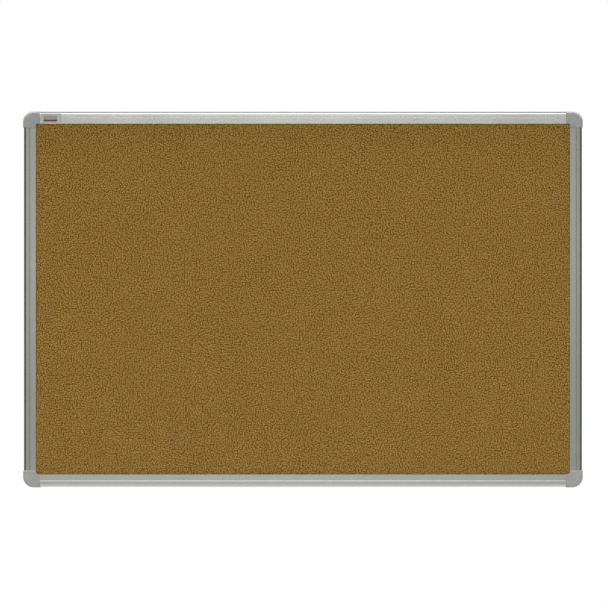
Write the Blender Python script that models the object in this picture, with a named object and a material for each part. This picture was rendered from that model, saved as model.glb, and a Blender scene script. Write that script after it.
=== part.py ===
"""A wall-hung cork bulletin board in an extruded aluminium frame with press-on plastic corner caps.

Metres, +Z up. The board faces -Y and its back lies in the wall plane y = 0, with the origin at the
centre of that plane.

A corner or rail is drawn in its own coordinates: "along" runs away from the frame's outer corner,
"inward" runs from the frame's outer side towards the middle of the board, and "depth" runs back from
the rails' front face to the wall plane.
"""

import math

import bmesh
import bpy
from mathutils import Matrix, Vector

# Driving dimensions
BOARD_WIDTH = 0.900  # over the rails, without the caps
BOARD_HEIGHT = 0.605
FRAME_DEPTH = 0.022  # rail front face to wall plane
GAP = 0.0003  # between pieces that touch
WALL = 0.0012  # the extrusion's wall thickness

# The pinning panel: three sheets glued face to face
CORK_THICK = 0.0030
SOFTBOARD_THICK = 0.0050
HARDBOARD_THICK = 0.0025
PANEL_INSET = 0.0110  # frame outer side to panel edge
PANEL_CORNER_CUT = 0.0120  # 45 degree corner cut that clears the wall screw

# The rail's section
RAIL_FACE = 0.0200  # outer side to inner lip
RAIL_OUTER_ROUND = 0.0045
RAIL_REAR_ROUND = 0.0006
LIP_THICK = 0.0018
GROOVE_CENTRE = 0.0101
GROOVE_WIDTH = 0.0009
GROOVE_DEPTH = 0.0002
CHAMBER_WIDTH = 0.0078  # hollow that the corner connectors plug into
CHAMBER_CHAMFER = 0.0016
REAR_CHANNEL_DEPTH = 0.0028  # room for the screw heads in front of the wall
SHELF_WIDTH = 0.0082  # flange behind the panel
RAIL_END = 0.0210  # frame outer corner to the end of each rail

# The corner connector
HUB_INSET = 0.0014  # below the rails' outer faces
HUB_FRONT = 0.0014  # depth of its front face
SPIGOT_LENGTH = 0.0310
SPIGOT_CHAMFER = 0.0016
SPIGOT_TIP = 0.0030
SPIGOT_TIP_SCALE = 0.80
WALL_HOLE_AT = 0.0100  # from both outer faces
WALL_HOLE_RADIUS = 0.0032
COUNTERBORE_RADIUS = 0.0050
COUNTERBORE_FLOOR = 0.0160  # depth of the seat for the wall screw's head

# The corner cap
CAP_PROUD = 0.0010  # beyond the rails, at the front and at both outer sides
CAP_LEG = 0.0264  # frame outer corner to the end of each leg
CAP_CORNER_RADIUS = 0.0170
CAP_FRONT_ROUND = 0.0048
CAP_EDGE_ROUND = 0.0009
CAP_INNER_EDGE = 0.0200  # frame outer side to the cap's inner edge
CAP_INNER_FILLET = 0.0035
CAP_PLATE = 0.0021  # front plate over the connector
PEG_NEAR = 0.0046  # peg axis, from one outer face and from the other
PEG_FAR = 0.0174
PEG_RADIUS = 0.0020
PEG_END = 0.0100
PEG_TIP = 0.0008
SOCKET_SPARE = 0.0006

# The rail screws, driven from the back
SCREW_AT = 0.0360  # frame outer corner to screw axis
SCREW_SHANK_RADIUS = 0.0016
SCREW_LENGTH = 0.0110
SCREW_HEAD_RADIUS = 0.0032
SCREW_HEAD_HEIGHT = 0.0020
RECESS_REACH = 0.0020
RECESS_WIDTH = 0.0008
RECESS_DEPTH = 0.0012

# The name label on the top rail
LABEL_WIDTH = 0.0330
LABEL_HEIGHT = 0.0143
LABEL_THICK = 0.0003
LABEL_CORNER_RADIUS = 0.0012
LABEL_LEFT = 0.0277  # frame outer side to label
LABEL_TOP = 0.0037  # frame top to label

ROUND_SEGMENTS = 6  # on a quarter turn
CIRCLE_SEGMENTS = 20
SHARP_DEGREES = 35
PAST = 0.0050  # how far a cutter runs past the faces that it cuts
SLACK = 0.0001  # when telling whether an edge lies on a face

# Worked out from the dimensions above
CORK_FRONT = LIP_THICK + GAP
SOFTBOARD_FRONT = CORK_FRONT + CORK_THICK + GAP
HARDBOARD_FRONT = SOFTBOARD_FRONT + SOFTBOARD_THICK + GAP
SHELF_FRONT = HARDBOARD_FRONT + HARDBOARD_THICK + GAP
CHAMBER_FRONT = LIP_THICK
WEB_INNER = 2 * WALL + CHAMBER_WIDTH
CHANNEL_FLOOR = FRAME_DEPTH - REAR_CHANNEL_DEPTH
CHAMBER_REAR = CHANNEL_FLOOR - WALL
CHAMBER_MIDDLE = WALL + CHAMBER_WIDTH / 2
CAP_FRONT = -CAP_PROUD
CAP_ROUND_CENTRE = CAP_CORNER_RADIUS - CAP_PROUD  # of the cap's outer corner
CAP_SKIRT_END = FRAME_DEPTH - GAP
HUB_END = RAIL_END - GAP
HUB_DIAGONAL = 2 * PANEL_INSET + PANEL_CORNER_CUT - 2 * GAP

CORNERS = {  # name: (side along X, side along Z, turn about Y)
    "top_left": (-1, 1, 0.0),
    "top_right": (1, 1, 90.0),
    "bottom_right": (1, -1, 180.0),
    "bottom_left": (-1, -1, 270.0),
}
RAILS = {  # name: (board length, location, turn about Y)
    "rail_top": (BOARD_WIDTH, (0, 0, BOARD_HEIGHT / 2), 0.0),
    "rail_right": (BOARD_HEIGHT, (BOARD_WIDTH / 2, 0, 0), 90.0),
    "rail_bottom": (BOARD_WIDTH, (0, 0, -BOARD_HEIGHT / 2), 180.0),
    "rail_left": (BOARD_HEIGHT, (-BOARD_WIDTH / 2, 0, 0), 270.0),
}


def at(along, inward, depth):
    """A point of a rail or a corner in its object's own axes."""
    return Vector((along, depth - FRAME_DEPTH, -inward))


def arc(centre, radius, start, end, segments=ROUND_SEGMENTS):
    """Points of an arc, both ends included; the angles are in degrees from the first coordinate."""
    angles = [math.radians(start + (end - start) * i / segments) for i in range(segments + 1)]
    return [(centre[0] + radius * math.cos(t), centre[1] + radius * math.sin(t)) for t in angles]


def material(name, colour, roughness, metallic=0.0):
    made = bpy.data.materials.new(name)
    made.use_nodes = True
    shader = made.node_tree.nodes["Principled BSDF"]
    shader.inputs["Base Color"].default_value = (*colour, 1.0)
    shader.inputs["Roughness"].default_value = roughness
    shader.inputs["Metallic"].default_value = metallic
    return made


def new_object(name, mesh, finish=None, parent=None):
    """An object in the scene. Round surfaces are shaded smooth and real edges stay sharp."""
    obj = bpy.data.objects.new(name, mesh)
    bpy.context.scene.collection.objects.link(obj)
    obj.parent = parent
    if finish is not None:
        mesh.materials.clear()
        mesh.materials.append(finish)
        mesh.shade_smooth()
        mesh.set_sharp_from_angle(angle=math.radians(SHARP_DEGREES))
    return obj


def mesh_of(bm):
    bmesh.ops.recalc_face_normals(bm, faces=bm.faces)
    mesh = bpy.data.meshes.new("shape")
    bm.to_mesh(mesh)
    bm.free()
    return mesh


def sweep(loops, path):
    """The flat shape inside a loop of points, less any further loops, swept along a vector."""
    bm = bmesh.new()
    edges = []
    for loop in loops:
        points = [bm.verts.new(point) for point in loop]
        edges += [bm.edges.new((points[i - 1], points[i])) for i in range(len(points))]
    if len(loops) == 1:
        faces = [bm.faces.new(points)]
    else:
        filled = bmesh.ops.triangle_fill(bm, use_beauty=True, edges=edges)["geom"]
        faces = [item for item in filled if isinstance(item, bmesh.types.BMFace)]
    swept = bmesh.ops.extrude_face_region(bm, geom=faces)["geom"]
    far = [item for item in swept if isinstance(item, bmesh.types.BMVert)]
    bmesh.ops.translate(bm, vec=path, verts=far)
    return bm


def plan_prism(outline, front, rear):
    """A prism whose (along, inward) outline runs from one depth back to another."""
    return sweep([[at(x, y, front) for x, y in outline]], Vector((0, rear - front, 0)))


def rod(along, inward, radius, front, rear):
    """A round bar along the depth."""
    circle = arc((along, inward), radius, 0, 360, CIRCLE_SEGMENTS)[:-1]
    return plan_prism(circle, front, rear)


def shaped(base, joined=(), cut=()):
    """One mesh: the base with some shapes joined to it and then others cut from it."""
    body = new_object("body", mesh_of(base))
    helpers = []
    for operation, shapes in (("UNION", joined), ("DIFFERENCE", cut)):
        for shape in shapes:
            helper = new_object("helper", mesh_of(shape))
            helpers.append(helper)
            change = body.modifiers.new(operation.lower(), "BOOLEAN")
            change.operation = operation
            change.object = helper
    evaluated = body.evaluated_get(bpy.context.evaluated_depsgraph_get())
    mesh = bpy.data.meshes.new_from_object(evaluated)
    for obj in (body, *helpers):
        bpy.data.objects.remove(obj)
    return mesh


def rail_section():
    """The extrusion's (inward, depth) outline, and the outline of its hollow chamber."""
    outline = [
        *arc((RAIL_REAR_ROUND, FRAME_DEPTH - RAIL_REAR_ROUND), RAIL_REAR_ROUND, 180, 90, 3),
        (WALL, FRAME_DEPTH),
        (WALL, CHANNEL_FLOOR),
        (WALL + CHAMBER_WIDTH, CHANNEL_FLOOR),
        (WALL + CHAMBER_WIDTH, FRAME_DEPTH),
        (WEB_INNER, FRAME_DEPTH),
        (WEB_INNER, SHELF_FRONT + WALL),
        (WEB_INNER + SHELF_WIDTH, SHELF_FRONT + WALL),
        (WEB_INNER + SHELF_WIDTH, SHELF_FRONT),
        (WEB_INNER, SHELF_FRONT),
        (WEB_INNER, LIP_THICK),
        (RAIL_FACE, LIP_THICK),
        (RAIL_FACE, 0),
        (GROOVE_CENTRE + GROOVE_WIDTH / 2, 0),
        (GROOVE_CENTRE, GROOVE_DEPTH),
        (GROOVE_CENTRE - GROOVE_WIDTH / 2, 0),
        *arc((RAIL_OUTER_ROUND, RAIL_OUTER_ROUND), RAIL_OUTER_ROUND, 270, 180),
    ]
    chamber = cut_corners(WALL, WALL + CHAMBER_WIDTH, CHAMBER_FRONT, CHAMBER_REAR, CHAMBER_CHAMFER)
    return outline, chamber


def cut_corners(x0, x1, y0, y1, cut):
    """A rectangle with its corners cut off at 45 degrees."""
    return [
        (x0 + cut, y0),
        (x1 - cut, y0),
        (x1, y0 + cut),
        (x1, y1 - cut),
        (x1 - cut, y1),
        (x0 + cut, y1),
        (x0, y1 - cut),
        (x0, y0 + cut),
    ]


def rail_mesh(board_length):
    """A cut length of the extrusion with a hole in its back for the screw near each end."""
    half = board_length / 2 - RAIL_END
    loops = [[at(-half, inward, depth) for inward, depth in loop] for loop in rail_section()]
    screw = board_length / 2 - SCREW_AT
    holes = [
        rod(x, CHAMBER_MIDDLE, SCREW_SHANK_RADIUS + GAP, CHAMBER_REAR - WALL, FRAME_DEPTH + PAST)
        for x in (-screw, screw)
    ]
    return shaped(sweep(loops, Vector((2 * half, 0, 0))), cut=holes)


def hub_outline(inset, radius, end):
    """The connector's plan: square, with its outer corner rounded."""
    centre = inset + radius
    return [
        (inset, end),
        *arc((centre, centre), radius, 180, 270, 2 * ROUND_SEGMENTS),
        (end, inset),
    ]


def spigot():
    """One arm of the connector, tapered at its tip to enter the rail's chamber."""
    section = cut_corners(
        WALL + GAP,
        WALL + CHAMBER_WIDTH - GAP,
        CHAMBER_FRONT + GAP,
        CHAMBER_REAR - GAP,
        SPIGOT_CHAMFER,
    )
    start, shoulder = HUB_END - 2 * WALL, HUB_END + SPIGOT_LENGTH - SPIGOT_TIP
    bm = sweep([[at(start, x, y) for x, y in section]], Vector((shoulder - start, 0, 0)))
    face = max(bm.faces, key=lambda f: f.calc_center_median().x)
    tip = bmesh.ops.extrude_face_region(bm, geom=[face])["geom"]
    points = [item for item in tip if isinstance(item, bmesh.types.BMVert)]
    bmesh.ops.translate(bm, vec=Vector((SPIGOT_TIP, 0, 0)), verts=points)
    middle = at(0, CHAMBER_MIDDLE, (CHAMBER_FRONT + CHAMBER_REAR) / 2)
    bmesh.ops.scale(
        bm,
        vec=Vector((1, SPIGOT_TIP_SCALE, SPIGOT_TIP_SCALE)),
        space=Matrix.Translation(-middle),
        verts=points,
    )
    bmesh.ops.delete(bm, geom=[face], context="FACES_ONLY")
    return bm


def swap_arms(bm):
    """Mirrors a shape in the corner's diagonal, which swaps along and inward."""
    for vertex in bm.verts:
        vertex.co.x, vertex.co.z = -vertex.co.z, -vertex.co.x
    bmesh.ops.reverse_faces(bm, faces=bm.faces)


def both(make, *sizes):
    """A shape that lies along one arm of the corner, and the same along the other."""
    first, second = make(*sizes), make(*sizes)
    swap_arms(second)
    return [first, second]


def connector_mesh():
    """The moulded corner that joins two rails and takes the wall screw."""
    outline = hub_outline(HUB_INSET, CAP_ROUND_CENTRE - HUB_INSET, HUB_END)
    outline += [(HUB_END, HUB_DIAGONAL - HUB_END), (HUB_DIAGONAL - HUB_END, HUB_END)]
    cuts = [
        rod(WALL_HOLE_AT, WALL_HOLE_AT, WALL_HOLE_RADIUS, HUB_FRONT, FRAME_DEPTH + PAST),
        rod(WALL_HOLE_AT, WALL_HOLE_AT, COUNTERBORE_RADIUS, -PAST, COUNTERBORE_FLOOR),
        *both(rod, PEG_FAR, PEG_NEAR, PEG_RADIUS + GAP, -PAST, PEG_END + SOCKET_SPARE),
        *both(rod, SCREW_AT, CHAMBER_MIDDLE, SCREW_SHANK_RADIUS + GAP,
              CHANNEL_FLOOR - SCREW_LENGTH - SOCKET_SPARE, FRAME_DEPTH),
    ]
    hub = plan_prism(outline, HUB_FRONT, FRAME_DEPTH)
    return shaped(hub, joined=both(spigot), cut=cuts)


def cap_outline():
    """The cap's L-shaped plan, with a round outer corner and a filleted inner one."""
    fillet_centre = CAP_INNER_EDGE + CAP_INNER_FILLET
    return [
        *hub_outline(-CAP_PROUD, CAP_CORNER_RADIUS, CAP_LEG),
        (CAP_LEG, CAP_INNER_EDGE),
        *arc((fillet_centre, fillet_centre), CAP_INNER_FILLET, 270, 180),
        (CAP_INNER_EDGE, CAP_LEG),
    ]


def edge_place(edge):
    """An edge's lesser and greater distance from the outer sides, and its depth, at its middle."""
    middle = (edge.verts[0].co + edge.verts[1].co) / 2
    near, far = sorted((middle.x, -middle.z))
    return near, far, middle.y + FRAME_DEPTH


def is_outer_front(edge):
    near, far, depth = edge_place(edge)
    return depth < CAP_FRONT + SLACK and near < CAP_INNER_EDGE - SLACK and far < CAP_LEG - SLACK


def is_eased(edge):
    """True for the front edges along the cork and for those around the ends of the legs."""
    near, far, depth = edge_place(edge)
    if depth > CAP_SKIRT_END - SLACK:
        return False
    if near > CAP_INNER_EDGE - SLACK:
        return depth < CAP_FRONT + SLACK
    return far > CAP_LEG - SLACK


def round_edges(bm, wanted, radius, segments):
    edges = [edge for edge in bm.edges if wanted(edge)]
    bmesh.ops.bevel(bm, geom=edges, offset=radius, segments=segments, profile=0.5, affect="EDGES")


def cap_block():
    """The cap as a solid block, with its outer front edge well rounded and others eased."""
    bm = plan_prism(cap_outline(), CAP_FRONT, CAP_SKIRT_END)
    round_edges(bm, is_outer_front, CAP_FRONT_ROUND, ROUND_SEGMENTS)
    round_edges(bm, is_eased, CAP_EDGE_ROUND, 2)
    return bm


def peg():
    """A round peg with an eased tip, behind the cap's plate."""
    bm = rod(PEG_FAR, PEG_NEAR, PEG_RADIUS, CAP_FRONT + CAP_PLATE / 2, PEG_END)
    round_edges(bm, lambda edge: edge_place(edge)[2] > PEG_END - SLACK, PEG_TIP, 1)
    return bm


def rail_clearance(reach):
    """The room that the cap leaves for the end of a rail."""
    inner, behind = RAIL_FACE + GAP, FRAME_DEPTH + PAST
    centre, radius = (RAIL_OUTER_ROUND, RAIL_OUTER_ROUND), RAIL_OUTER_ROUND + GAP
    section = [(inner, -GAP), *arc(centre, radius, 270, 180), (-GAP, behind), (inner, behind)]
    return sweep([[at(HUB_END, x, y) for x, y in section]], Vector((reach - HUB_END, 0, 0)))


def cap_mesh():
    """The visible corner: a thin moulded cover with two pegs that press into the connector."""
    behind, past = FRAME_DEPTH + PAST, CAP_LEG + PAST
    inset, end = HUB_INSET - GAP, HUB_END + GAP
    over_hub = [*hub_outline(inset, CAP_ROUND_CENTRE - inset, end), (end, end)]
    start = CAP_ROUND_CENTRE
    over_cork = [(start, start), (past, start), (past, past), (start, past)]
    hollow = shaped(
        cap_block(),
        cut=[
            plan_prism(over_hub, CAP_FRONT + CAP_PLATE, behind),
            plan_prism(over_cork, LIP_THICK, behind),
            *both(rail_clearance, past),
        ],
    )
    bm = bmesh.new()
    bm.from_mesh(hollow)
    return shaped(bm, joined=both(peg))


def panel_sheet(front, thickness):
    """One sheet of the panel, with its corners cut off behind the caps."""
    half_width, half_height = BOARD_WIDTH / 2 - PANEL_INSET, BOARD_HEIGHT / 2 - PANEL_INSET
    outline = cut_corners(-half_width, half_width, -half_height, half_height, PANEL_CORNER_CUT)
    return mesh_of(plan_prism(outline, front, front + thickness))


def screw_mesh():
    """A pan-head self-tapping screw with a cross recess, its seat at the origin and its head behind."""
    head_centre = SCREW_HEAD_HEIGHT * 0.35
    dome = arc((0, head_centre), SCREW_HEAD_HEIGHT - head_centre, 0, 90, 4)
    flat = SCREW_HEAD_RADIUS - (SCREW_HEAD_HEIGHT - head_centre)
    profile = [
        (0, -SCREW_LENGTH),
        (SCREW_SHANK_RADIUS, 3 * SCREW_SHANK_RADIUS - SCREW_LENGTH),
        (SCREW_SHANK_RADIUS, 0),
        (SCREW_HEAD_RADIUS, 0),
        *[(flat + x, y) for x, y in dome],
        (0, SCREW_HEAD_HEIGHT),
    ]
    bm = bmesh.new()
    points = [bm.verts.new((radius, height, 0)) for radius, height in profile]
    for first, second in zip(points, points[1:]):
        bm.edges.new((first, second))
    bmesh.ops.spin(
        bm,
        geom=bm.verts[:] + bm.edges[:],
        cent=(0, 0, 0),
        axis=(0, 1, 0),
        angle=math.tau,
        steps=CIRCLE_SEGMENTS,
        use_merge=True,
    )
    bmesh.ops.remove_doubles(bm, verts=bm.verts, dist=GAP / 10)
    bars = ((RECESS_REACH, RECESS_WIDTH / 2), (RECESS_WIDTH / 2, RECESS_REACH))
    return shaped(bm, cut=[recess_bar(*bar) for bar in bars])


def recess_bar(half_x, half_z):
    """One bar of the cross, tapered towards its foot."""
    bm = bmesh.new()
    bmesh.ops.create_cube(bm, size=1)
    foot, mouth = SCREW_HEAD_HEIGHT - RECESS_DEPTH, SCREW_HEAD_HEIGHT + GAP
    for vertex in bm.verts:
        low = vertex.co.y < 0
        taper = 0.6 if low else 1.0
        vertex.co = Vector(
            (2 * vertex.co.x * half_x * taper, foot if low else mouth, 2 * vertex.co.z * half_z * taper)
        )
    return bm


def label_mesh():
    """A thin plate with rounded corners that is stuck across the top rail's groove."""
    left, top = LABEL_LEFT, LABEL_TOP
    right, bottom = left + LABEL_WIDTH, top + LABEL_HEIGHT
    r = LABEL_CORNER_RADIUS
    outline = [
        *arc((left + r, top + r), r, 180, 270, 3),
        *arc((right - r, top + r), r, 270, 360, 3),
        *arc((right - r, bottom - r), r, 0, 90, 3),
        *arc((left + r, bottom - r), r, 90, 180, 3),
    ]
    return mesh_of(plan_prism(outline, -GAP - LABEL_THICK, -GAP))


def main():
    for obj in list(bpy.data.objects):
        bpy.data.objects.remove(obj)

    cork = material("cork", (0.224, 0.127, 0.029), 0.85)
    softboard = material("softboard", (0.42, 0.31, 0.20), 0.90)
    hardboard = material("hardboard", (0.16, 0.085, 0.045), 0.70)
    aluminium = material("anodised_aluminium", (0.62, 0.63, 0.61), 0.35, 1.0)
    cap_plastic = material("cap_plastic", (0.30, 0.31, 0.30), 0.42)
    inner_plastic = material("connector_plastic", (0.05, 0.05, 0.052), 0.50)
    zinc = material("zinc_plated_steel", (0.60, 0.60, 0.58), 0.30, 1.0)
    label = material("label_film", (0.42, 0.42, 0.40), 0.30)

    new_object("cork_sheet", panel_sheet(CORK_FRONT, CORK_THICK), cork)
    new_object("softboard_core", panel_sheet(SOFTBOARD_FRONT, SOFTBOARD_THICK), softboard)
    new_object("hardboard_back", panel_sheet(HARDBOARD_FRONT, HARDBOARD_THICK), hardboard)

    for name, (board_length, location, turn) in RAILS.items():
        rail = new_object(name, rail_mesh(board_length), aluminium)
        rail.location = location
        rail.rotation_euler = (0, math.radians(turn), 0)

    connector, cap, screw = connector_mesh(), cap_mesh(), screw_mesh()
    for name, (side_x, side_z, turn) in CORNERS.items():
        corner = new_object(f"corner_{name}", None)
        corner.location = (side_x * BOARD_WIDTH / 2, 0, side_z * BOARD_HEIGHT / 2)
        corner.rotation_euler = (0, math.radians(turn), 0)
        new_object(f"corner_connector_{name}", connector, inner_plastic, corner)
        new_object(f"corner_cap_{name}", cap, cap_plastic, corner)
        seats = ((SCREW_AT, CHAMBER_MIDDLE), (CHAMBER_MIDDLE, SCREW_AT))
        for number, (along, inward) in enumerate(seats, start=1):
            fastener = new_object(f"rail_screw_{name}_{number}", screw, zinc, corner)
            fastener.location = at(along, inward, CHANNEL_FLOOR + GAP)

    top_left = bpy.data.objects["corner_top_left"]
    new_object("name_label", label_mesh(), label, top_left)


main()
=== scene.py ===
"""The looks of a cork bulletin board: materials, softened edges, a printed label, and the studio around it."""

import math

import bpy
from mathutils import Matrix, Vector


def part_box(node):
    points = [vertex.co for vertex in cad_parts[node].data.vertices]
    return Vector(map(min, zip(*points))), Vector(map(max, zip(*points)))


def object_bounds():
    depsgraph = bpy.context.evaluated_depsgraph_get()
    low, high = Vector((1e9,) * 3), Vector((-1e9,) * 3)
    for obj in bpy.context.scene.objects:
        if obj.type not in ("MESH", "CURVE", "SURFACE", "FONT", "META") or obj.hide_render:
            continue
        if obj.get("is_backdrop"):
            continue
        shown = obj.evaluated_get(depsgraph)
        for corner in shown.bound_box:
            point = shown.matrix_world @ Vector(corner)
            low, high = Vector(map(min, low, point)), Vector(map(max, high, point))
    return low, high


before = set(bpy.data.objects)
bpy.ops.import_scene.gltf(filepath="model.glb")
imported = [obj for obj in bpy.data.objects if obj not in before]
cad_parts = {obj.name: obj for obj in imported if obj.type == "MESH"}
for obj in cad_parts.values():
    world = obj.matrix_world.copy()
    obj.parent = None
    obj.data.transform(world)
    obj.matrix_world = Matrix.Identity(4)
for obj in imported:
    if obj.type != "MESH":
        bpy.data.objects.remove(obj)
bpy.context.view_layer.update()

MM = 0.001
CORNERS = ("top_left", "top_right", "bottom_right", "bottom_left")
RAIL_EDGE, CAP_EDGE, CONNECTOR_EDGE, FINE_EDGE = 0.10 * MM, 0.12 * MM, 0.20 * MM, 0.08 * MM
RAIL_CREASE = 20.0  # degrees, less than the slope of the groove's walls


# --- node building ---------------------------------------------------------------------------------


class Graph:
    """A short way to write the nodes of a material or of the world."""

    def __init__(self, owner, shader):
        owner.use_nodes = True
        self.owner = owner
        self.nodes = owner.node_tree.nodes
        self.links = owner.node_tree.links
        self.shader = self.nodes[shader]

    def add(self, kind, inputs=None, **settings):
        node = self.nodes.new("ShaderNode" + kind)
        for key, value in settings.items():
            setattr(node, key, value)
        for key, value in (inputs or {}).items():
            self.put(node.inputs[key], value)
        return node

    def put(self, socket, value):
        if isinstance(value, bpy.types.NodeSocket):
            self.links.new(value, socket)
        else:
            socket.default_value = value

    def set(self, **values):
        for key, value in values.items():
            self.put(self.shader.inputs[key.replace("_", " ")], value)

    def place(self, scale):
        """The point on the piece, in millimetres, stretched by a scale for each axis."""
        at = self.add("TexCoord").outputs["Object"]
        return self.add("Mapping", {"Vector": at, "Scale": [1000 * s for s in scale]}).outputs["Vector"]

    def math(self, operation, a, b=0.0, c=0.0):
        node = self.add("Math", operation=operation)
        for socket, value in zip(node.inputs, (a, b, c)):
            self.put(socket, value)
        return node.outputs[0]

    def ramp(self, value, stops):
        node = self.add("ValToRGB", {"Fac": value})
        elements = node.color_ramp.elements
        while len(elements) < len(stops):
            elements.new(0.5)
        for element, (position, colour) in zip(elements, stops):
            element.position = position
            element.color = (*colour, 1.0)
        return node.outputs["Color"]

    def remap(self, value, low, high, to_low, to_high, smooth=False):
        node = self.add("MapRange", interpolation_type="SMOOTHSTEP" if smooth else "LINEAR")
        for key, number in zip(
            ("Value", "From Min", "From Max", "To Min", "To Max"), (value, low, high, to_low, to_high)
        ):
            self.put(node.inputs[key], number)
        return node.outputs["Result"]

    def noise(self, vector, scale, detail=2.0, roughness=0.5):
        return self.add(
            "TexNoise", {"Vector": vector, "Scale": scale, "Detail": detail, "Roughness": roughness}
        ).outputs["Fac"]

    def mix(self, factor, a, b):
        """One colour blended over another, by the colour sockets of the Mix node."""
        node = self.add("Mix", data_type="RGBA")
        for index, value in ((0, factor), (6, a), (7, b)):
            self.put(node.inputs[index], value)
        return node.outputs[2]

    def bump(self, height, strength, distance):
        inputs = {"Height": height, "Strength": strength, "Distance": distance}
        return self.add("Bump", inputs).outputs["Normal"]


def material_graph(name):
    return Graph(bpy.data.materials.new(name), "Principled BSDF")


def srgb(*values):
    """A colour given in display values from 0 to 255, as linear light."""
    return tuple(
        v / 255 / 12.92 if v <= 10 else ((v / 255 + 0.055) / 1.055) ** 2.4 for v in values
    )


# --- materials -------------------------------------------------------------------------------------


GRANULES_PER_MM = 0.41
CRUMBS_PER_MM = 0.93
DRIFT_MM = 0.6  # how far the pattern wanders, so that no row of granules lines up


def cork_material():
    """Fine agglomerated cork: pressed granules and crumbs, palest at their middles and dark between them."""
    g = material_graph("cork_granules")
    at = g.place((1, 1, 1))
    split = g.add("SeparateXYZ", {"Vector": at})
    face = g.add("CombineXYZ", {"X": split.outputs["X"], "Y": split.outputs["Z"]}).outputs[0]
    drift = g.add("TexNoise", {"Vector": at, "Scale": 0.35, "Detail": 1.0}).outputs["Color"]
    face = g.add("VectorMath", {0: drift, 1: (DRIFT_MM,) * 3, 2: face}, operation="MULTIPLY_ADD").outputs[0]
    granules = {"Vector": face, "Scale": GRANULES_PER_MM, "Randomness": 1.0}
    crumbs = {"Vector": face, "Scale": CRUMBS_PER_MM, "Randomness": 1.0}
    coarse = g.add("TexVoronoi", granules, voronoi_dimensions="2D")
    fine = g.add("TexVoronoi", crumbs, voronoi_dimensions="2D")
    to_edge = g.add("TexVoronoi", granules, voronoi_dimensions="2D", feature="DISTANCE_TO_EDGE")
    seam = g.remap(to_edge.outputs["Distance"], 0.0, 0.25, -0.10, 0.0)
    tone_a = g.add("SeparateColor", {"Color": coarse.outputs["Color"]}).outputs["Red"]
    tone_b = g.add("SeparateColor", {"Color": fine.outputs["Color"]}).outputs["Green"]
    grain = g.noise(at, 2.6, 3.0, 0.6)
    clouds = g.remap(g.noise(at, 0.012, 2.0), 0.3, 0.7, 1.275, 1.295)
    shade = g.math("ADD", seam, clouds)
    parts = (
        (g.math("MINIMUM", coarse.outputs["Distance"], 0.45), -1.40),
        (g.math("MINIMUM", fine.outputs["Distance"], 0.50), -0.85),
        (tone_a, 0.10),
        (tone_b, 0.10),
        (grain, 0.10),
    )
    for part, weight in parts:
        shade = g.math("MULTIPLY_ADD", part, weight, shade)
    colour = g.ramp(
        shade,
        [
            (0.05, srgb(45, 18, 0)),
            (0.28, srgb(90, 56, 4)),
            (0.50, srgb(134, 97, 29)),
            (0.72, srgb(178, 139, 65)),
            (0.95, srgb(216, 180, 106)),
        ],
    )
    relief = g.math("MULTIPLY_ADD", fine.outputs["Distance"], -0.3, g.math("MULTIPLY", seam, 2.5))
    g.set(
        Base_Color=colour,
        Roughness=g.remap(grain, 0.3, 0.7, 0.78, 0.95),
        Specular_IOR_Level=0.25,
        Normal=g.bump(relief, 0.6, 0.5 * MM),
    )
    return g.owner


def fibre_material(name, dark, light, scale, relief):
    """Pressed wood fibre seen on its cut edge or raw face."""
    g = material_graph(name)
    at = g.place((1, 1, 1))
    fibres = g.noise(g.add("Mapping", {"Vector": at, "Scale": (1, 4, 1)}).outputs[0], scale, 5.0, 0.7)
    clouds = g.noise(at, 0.03, 3.0)
    shade = g.math("MULTIPLY_ADD", fibres, 0.75, g.math("MULTIPLY", clouds, 0.25))
    g.set(
        Base_Color=g.ramp(shade, [(0.30, dark), (0.70, light)]),
        Roughness=g.remap(fibres, 0.3, 0.7, 0.80, 0.95),
        Specular_IOR_Level=0.25,
        Normal=g.bump(fibres, 0.5, relief),
    )
    return g.owner


SCREEN_PITCH_MM = 1.9


def hardboard_material():
    """Brown hardboard with the woven print that the pressing screen leaves on its raw side."""
    g = material_graph("hardboard_screen_side")
    at = g.place((1, 1, 1))
    split = g.add("SeparateXYZ", {"Vector": at})
    across = g.math("SINE", g.math("MULTIPLY", split.outputs["X"], math.tau / SCREEN_PITCH_MM))
    along = g.math("SINE", g.math("MULTIPLY", split.outputs["Z"], math.tau / SCREEN_PITCH_MM))
    weave = g.remap(g.math("MULTIPLY", across, along), -1.0, 1.0, 0.0, 1.0)
    fibres = g.noise(at, 0.9, 5.0, 0.7)
    clouds = g.noise(at, 0.018, 3.0)
    shade = g.math("MULTIPLY_ADD", fibres, 0.66, g.math("MULTIPLY", weave, 0.16))
    shade = g.math("MULTIPLY_ADD", clouds, 0.18, shade)
    height = g.math("MULTIPLY_ADD", fibres, 0.45, weave)
    g.set(
        Base_Color=g.ramp(
            shade, [(0.30, srgb(78, 52, 34)), (0.50, srgb(112, 79, 54)), (0.70, srgb(146, 108, 77))]
        ),
        Roughness=g.remap(fibres, 0.3, 0.7, 0.62, 0.86),
        Specular_IOR_Level=0.35,
        Normal=g.bump(height, 0.45, 0.20 * MM),
    )
    return g.owner


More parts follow.
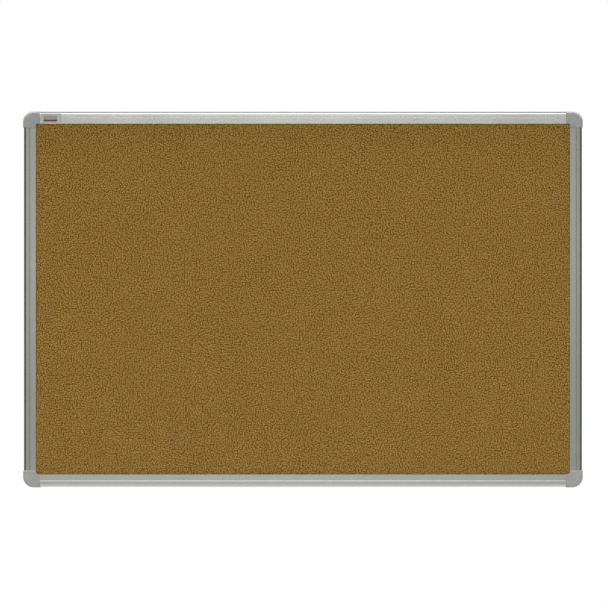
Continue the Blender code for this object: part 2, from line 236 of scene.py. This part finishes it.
def aluminium_material(name, axis):
    """Satin anodised aluminium, with fine die lines and a soft sheen along the extrusion."""
    g = material_graph(name)
    along = [0.004 if i == axis else 1.0 for i in range(3)]
    lines_at = g.place(along)
    fine = g.noise(lines_at, 5.5, 3.0, 0.65)
    broad = g.noise(lines_at, 0.9, 2.0, 0.5)
    haze = g.noise(g.place((1, 1, 1)), 0.02, 3.0)
    speck = g.noise(g.place((1, 1, 1)), 9.0, 2.0)
    lines = g.math("MULTIPLY_ADD", fine, 0.7, g.math("MULTIPLY", broad, 0.3))
    tint = g.ramp(lines, [(0.30, (0.710, 0.726, 0.665)), (0.70, (0.790, 0.806, 0.740))])
    tint = g.mix(g.remap(haze, 0.3, 0.7, 0.0, 0.10), tint, (0.69, 0.71, 0.67, 1.0))
    rough = g.math("MULTIPLY_ADD", lines, 0.08, g.remap(haze, 0.3, 0.7, 0.16, 0.19))
    height = g.math("MULTIPLY_ADD", speck, 0.15, lines)
    direction = g.add("CombineXYZ", {"XYZ"[axis]: 1.0}).outputs[0]
    g.set(
        Base_Color=tint,
        Metallic=1.0,
        Roughness=rough,
        Anisotropic=0.50,
        Anisotropic_Rotation=0.25,
        Tangent=direction,
        Normal=g.bump(height, 0.10, 0.05 * MM),
    )
    return g.owner


MOULD_GRAIN_PER_MM = 3.0


def moulded_material(name, dark, light, roughness):
    """Moulded plastic with a fine spark-eroded grain and slight unevenness."""
    g = material_graph(name)
    at = g.place((1, 1, 1))
    grain = g.noise(at, MOULD_GRAIN_PER_MM, 3.0, 0.6)
    cells = g.add("TexVoronoi", {"Vector": at, "Scale": 1.6 * MOULD_GRAIN_PER_MM}, feature="SMOOTH_F1")
    flow = g.noise(at, 0.06, 2.0)
    shade = g.math("MULTIPLY_ADD", flow, 0.7, g.math("MULTIPLY", grain, 0.3))
    height = g.math("MULTIPLY_ADD", cells.outputs["Distance"], 0.5, grain)
    g.set(
        Base_Color=g.ramp(shade, [(0.30, dark), (0.70, light)]),
        Roughness=g.remap(grain, 0.3, 0.7, roughness - 0.05, roughness + 0.07),
        Specular_IOR_Level=0.5,
        Normal=g.bump(height, 0.16, 0.06 * MM),
    )
    return g.owner


def zinc_material():
    """Bright zinc plate with faint clouding and a fine grain."""
    g = material_graph("zinc_plate")
    at = g.place((1, 1, 1))
    cloud = g.noise(at, 0.9, 4.0, 0.6)
    fine = g.noise(at, 12.0, 2.0)
    g.set(
        Base_Color=g.ramp(cloud, [(0.30, (0.52, 0.53, 0.54)), (0.70, (0.74, 0.74, 0.71))]),
        Metallic=1.0,
        Roughness=g.remap(cloud, 0.3, 0.7, 0.22, 0.38),
        Normal=g.bump(fine, 0.12, 0.03 * MM),
    )
    return g.owner


def band(g, value, low, high, soft):
    """1 between two limits and 0 outside them, with a soft edge."""
    rise = g.remap(value, low - soft, low + soft, 0.0, 1.0, smooth=True)
    fall = g.remap(value, high - soft, high + soft, 1.0, 0.0, smooth=True)
    return g.math("MULTIPLY", rise, fall)


def label_material(left, top):
    """Pale grey film printed with plain stripes: a grey field, a dark bar below it and two thin lines."""
    g = material_graph("printed_label")
    at = g.place((1, 1, 1))
    split = g.add("SeparateXYZ", {"Vector": at})
    x = g.math("SUBTRACT", split.outputs["X"], left / MM)
    down = g.math("SUBTRACT", top / MM, split.outputs["Z"])
    soft = 0.08
    field = g.math("MULTIPLY", band(g, x, 4.8, 27.2, soft), band(g, down, 3.2, 9.5, soft))
    bar = g.math("MULTIPLY", band(g, x, 4.8, 26.8, soft), band(g, down, 9.7, 12.9, soft))
    pale = g.math("MULTIPLY", band(g, x, 29.0, 30.4, soft), band(g, down, 1.0, 13.3, soft))
    dark = g.math("MULTIPLY", band(g, x, 30.6, 32.0, soft), band(g, down, 1.0, 13.3, soft))
    fibre = g.noise(at, 1.4, 3.0)
    ink = g.ramp(fibre, [(0.3, srgb(190, 190, 184)), (0.7, srgb(200, 200, 194))])
    for mask, colour in (
        (pale, srgb(208, 208, 202)),
        (dark, srgb(180, 178, 172)),
        (field, srgb(164, 160, 154)),
        (bar, srgb(98, 66, 64)),
    ):
        ink = g.mix(mask, ink, (*colour, 1.0))
    g.set(
        Base_Color=ink,
        Roughness=g.remap(fibre, 0.3, 0.7, 0.30, 0.42),
        Specular_IOR_Level=0.5,
        Normal=g.bump(fibre, 0.05, 0.05 * MM),
    )
    return g.owner


# --- shapes ----------------------------------------------------------------------------------------


def dress(node, material, edge=0.0, crease=0.0):
    """A CAD piece in its finish, smooth where it is round, with its sharp edges broken by a small radius.

    Edges sharper than the crease angle, where one is given, also stay sharp in the shading."""
    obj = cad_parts[node]
    obj.data.materials.clear()
    obj.data.materials.append(material)
    obj.data.shade_smooth()
    weld = obj.modifiers.new("weld", "WELD")
    weld.merge_threshold = 0.02 * MM
    flat = obj.modifiers.new("flat", "DECIMATE")
    flat.decimate_type = "DISSOLVE"
    flat.angle_limit = math.radians(0.5)
    if edge:
        bevel = obj.modifiers.new("edge", "BEVEL")
        bevel.width = edge
        bevel.segments = 2
        bevel.limit_method = "ANGLE"
        bevel.angle_limit = math.radians(35)
        bevel.harden_normals = True
    if crease:
        split = obj.modifiers.new("crease", "EDGE_SPLIT")
        split.split_angle = math.radians(crease)
    normals = obj.modifiers.new("normals", "WEIGHTED_NORMAL")
    normals.weight = 60


# --- the studio ------------------------------------------------------------------------------------


def studio_world():
    """A studio that the metal reflects: bright above and behind, grey in front and dim to both sides.

    The camera itself sees plain white. x, y and z are the parts of a direction: right, back and up."""
    world = bpy.data.worlds.new("studio")
    bpy.context.scene.world = world
    g = Graph(world, "Background")
    split = g.add("SeparateXYZ", {"Vector": g.add("TexCoord").outputs["Generated"]})
    x, y, z = (split.outputs[axis] for axis in "XYZ")
    # The height of the light in front: a grey wall, a bright box above it and a glow below
    level = g.math("ADD", g.remap(z, -0.08, 0.05, 0.26, 0.66), g.remap(z, 0.06, 0.13, 0.0, -0.50))
    soft_box = g.math(
        "MULTIPLY",
        g.remap(z, 0.19, 0.31, 0.0, 3.0, smooth=True),
        g.remap(z, 0.35, 0.80, 1.0, 0.15),
    )
    low = g.remap(z, -0.07, -0.18, 0.0, 0.25)
    front = g.math("ADD", g.math("ADD", level, soft_box), low)
    # It fades to both sides, and towards the directions level with the board and behind it
    width = g.remap(g.math("ABSOLUTE", g.math("ADD", x, 0.02)), 0.0, 0.56, 1.0, 0.0, smooth=True)
    turned_away = g.remap(y, -0.35, 0.12, 1.0, 0.06, smooth=True)
    light = g.math("MULTIPLY", g.math("MULTIPLY", front, width), turned_away)
    # What the back, the rims and the two ends of the frame reflect
    aside = g.math("ABSOLUTE", x)
    narrow = g.remap(aside, 0.50, 0.85, 1.0, 0.0, smooth=True)
    behind = g.math("MULTIPLY", g.remap(y, 0.10, 0.60, 0.0, 0.8, smooth=True), narrow)
    sides = g.remap(aside, 0.80, 0.98, 0.0, 0.10, smooth=True)
    light = g.math("ADD", g.math("ADD", light, behind), g.math("ADD", sides, 0.07))
    seen = g.add("LightPath").outputs["Is Camera Ray"]
    strength = g.math("MULTIPLY_ADD", seen, g.math("SUBTRACT", 1.0, light), light)
    g.set(Strength=strength, Color=(1.0, 1.0, 1.0, 1.0))


def sun(name, energy, degrees, towards):
    """A soft lamp far away in a direction; reflections leave it out."""
    data = bpy.data.lights.new(name, "SUN")
    data.energy, data.angle = energy, math.radians(degrees)
    lamp = bpy.data.objects.new(name, data)
    bpy.context.scene.collection.objects.link(lamp)
    lamp.rotation_euler = Vector(towards).to_track_quat("Z", "Y").to_euler()
    lamp.visible_glossy = False


def floor_piece():
    """A plain pale floor below the board, out of the front camera's view."""
    mesh = bpy.data.meshes.new("floor")
    x, front, back, z = 4.0, -4.0, 3.6, -1.2
    mesh.from_pydata([(-x, front, z), (x, front, z), (x, back, z), (-x, back, z)], [], [(0, 1, 2, 3)])
    obj = bpy.data.objects.new("floor", mesh)
    bpy.context.scene.collection.objects.link(obj)
    g = material_graph("floor_paper")
    paper = g.noise(g.place((1, 1, 1)), 0.004, 2.0)
    tint = g.ramp(paper, [(0.3, (0.235, 0.235, 0.235)), (0.7, (0.247, 0.247, 0.247))])
    g.set(Base_Color=tint, Roughness=0.9)
    mesh.materials.append(g.owner)
    obj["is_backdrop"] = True


def studio_camera():
    """Straight in front of the board and a little below its middle."""
    low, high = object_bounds()
    data = bpy.data.cameras.new("camera")
    data.lens, data.sensor_width = 100.0, 36.0
    camera = bpy.data.objects.new("camera", data)
    bpy.context.scene.collection.objects.link(camera)
    width_seen, aside, below = 0.9785, 0.0017, 0.0078
    distance = width_seen * data.lens / data.sensor_width
    camera.location = Vector((aside, low.y - distance, (low.z + high.z) / 2 - below))
    camera.rotation_euler = (math.pi / 2, 0, 0)
    bpy.context.scene.camera = camera


def main():
    dress("cork_sheet", cork_material())
    softboard = fibre_material("softboard_fibre", srgb(140, 116, 86), srgb(190, 165, 130), 1.1, 0.2 * MM)
    dress("softboard_core", softboard)
    dress("hardboard_back", hardboard_material())
    across, upright = aluminium_material("aluminium_across", 0), aluminium_material("aluminium_upright", 2)
    for side, finish in (("top", across), ("bottom", across), ("left", upright), ("right", upright)):
        dress(f"rail_{side}", finish, RAIL_EDGE, crease=RAIL_CREASE)
    upper_cap = moulded_material("cap_grey", (0.360, 0.374, 0.354), (0.410, 0.424, 0.404), 0.50)
    # The lower caps take a lighter grey than the upper ones: painted light, standing in for the extra light
    # that falls on the lower corners.
    lower_cap_painted_lit = moulded_material("cap_grey_painted_lighter", (0.400, 0.416, 0.396), (0.460, 0.476, 0.456), 0.50)
    connector = moulded_material("connector_black", (0.016, 0.016, 0.017), (0.030, 0.030, 0.031), 0.48)
    zinc = zinc_material()
    for corner in CORNERS:
        dress(f"corner_cap_{corner}", upper_cap if "top" in corner else lower_cap_painted_lit, CAP_EDGE)
        dress(f"corner_connector_{corner}", connector, CONNECTOR_EDGE)
        for number in (1, 2):
            dress(f"rail_screw_{corner}_{number}", zinc, FINE_EDGE)
    low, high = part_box("name_label")
    dress("name_label", label_material(low.x, high.z), FINE_EDGE)

    bpy.context.scene.view_settings.view_transform = "Standard"
    studio_world()
    sun("top_light", 6.5, 8, (-0.03, -0.02, 1.0))
    sun("front_fill", 0.45, 60, (0.0, -1.0, 0.45))
    sun("back_light", 1.6, 70, (-0.25, 1.0, 0.55))
    floor_piece()
    studio_camera()


main()
